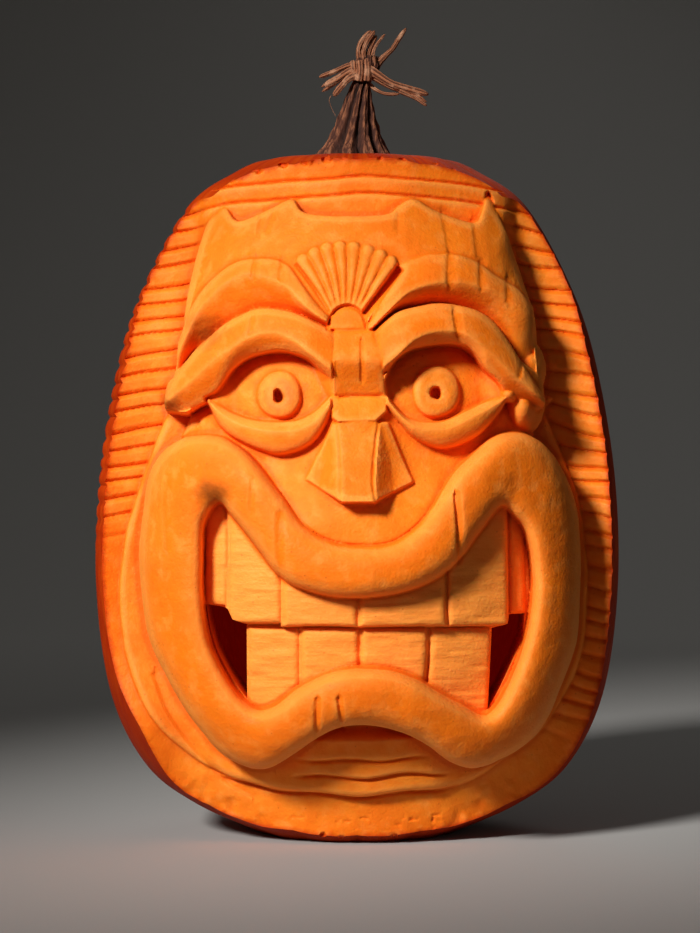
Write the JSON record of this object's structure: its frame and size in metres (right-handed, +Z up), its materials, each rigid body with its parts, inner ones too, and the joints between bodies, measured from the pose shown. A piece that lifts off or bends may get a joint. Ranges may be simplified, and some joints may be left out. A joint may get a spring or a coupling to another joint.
{
  "type": "carved pumpkin lantern",
  "caption": "Tall hollow pumpkin with its front carved back into a grinning mask: forehead block, fan, wedge nose, thick lips round two rows of teeth, fluted border and a dried stem",
  "frame": {"origin": "centre of the bounding box's footprint, on the surface the pumpkin stands on", "axes": "+Z up; the carved front faces -Y; +X is to the right of a person who looks at the face"},
  "size_m": [0.3192, 0.2937, 0.4956],
  "materials": {
    "pumpkin": "moist carved pumpkin flesh with waxy rind round the back",
    "stem": "dry ribbed stem with frayed tan fibres"
  },
  "bodies": {
    "root": {"pumpkin": "pumpkin", "stem": "stem"}
  },
  "joints": []
}
